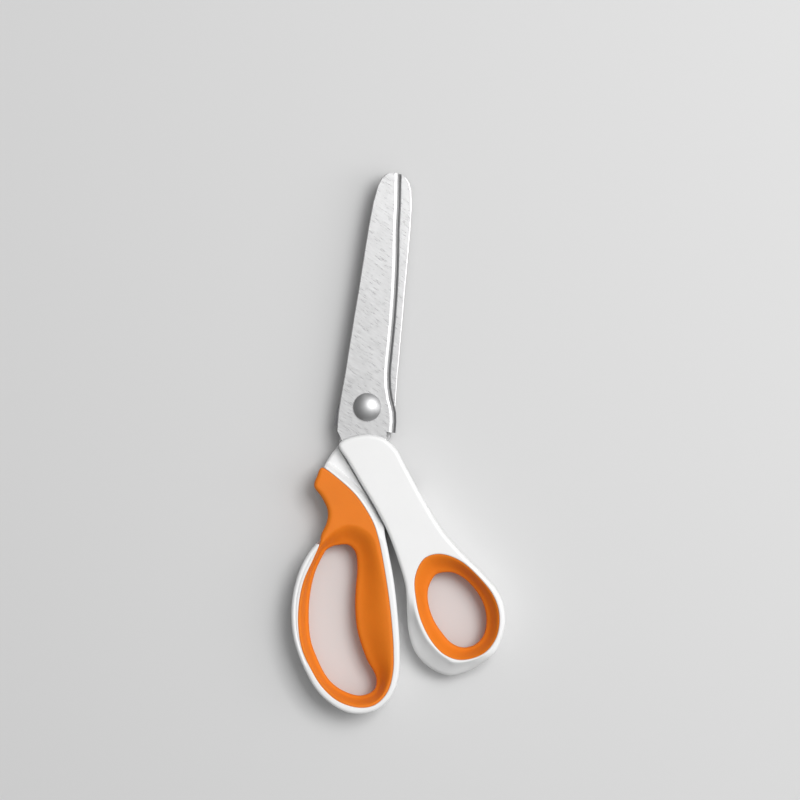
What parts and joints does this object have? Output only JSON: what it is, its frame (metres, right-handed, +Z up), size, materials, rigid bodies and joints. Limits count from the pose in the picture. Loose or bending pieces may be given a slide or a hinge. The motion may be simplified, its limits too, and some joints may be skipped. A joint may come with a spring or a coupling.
{
  "type": "pinking shears",
  "caption": "Hand shears with zigzag-toothed bent blades and moulded white handles with soft orange finger and thumb loops, closed, pivoting on a domed screw.",
  "frame": {"origin": "on the pivot axis, at the flat back face of the pivot nut, which rests on the table", "axes": "+Y along the closed cutting line towards the blade tips, +Z up the pivot axis to the thumb (upper blade) side, +X to the thumb loop's side"},
  "size_m": [0.0949, 0.24, 0.016],
  "materials": {
    "blade_steel": "fine diagonal brushing, satin",
    "bright_steel": "polished, slightly dulled",
    "white_plastic": "moulded, semi-gloss",
    "orange_grip": "soft moulded elastomer, matt",
    "nylon": "natural, matt"
  },
  "bodies": {
    "finger_side": {"lower_blade": "blade_steel", "finger_handle": "white_plastic", "finger_grip": "orange_grip", "pivot_screw": "bright_steel", "pivot_bush": "bright_steel", "thrust_washer": "nylon", "spring_washer": "bright_steel", "pivot_nut": "bright_steel"},
    "thumb_side": {"upper_blade": "blade_steel", "thumb_handle": "white_plastic", "thumb_grip": "orange_grip"}
  },
  "joints": [
    {"name": "pivot", "type": "hinge", "parent": "finger_side", "child": "thumb_side", "pos_m": [0, 0, 0.0117], "axis": [0, 0, 1], "range_deg": [0, 45]}
  ]
}
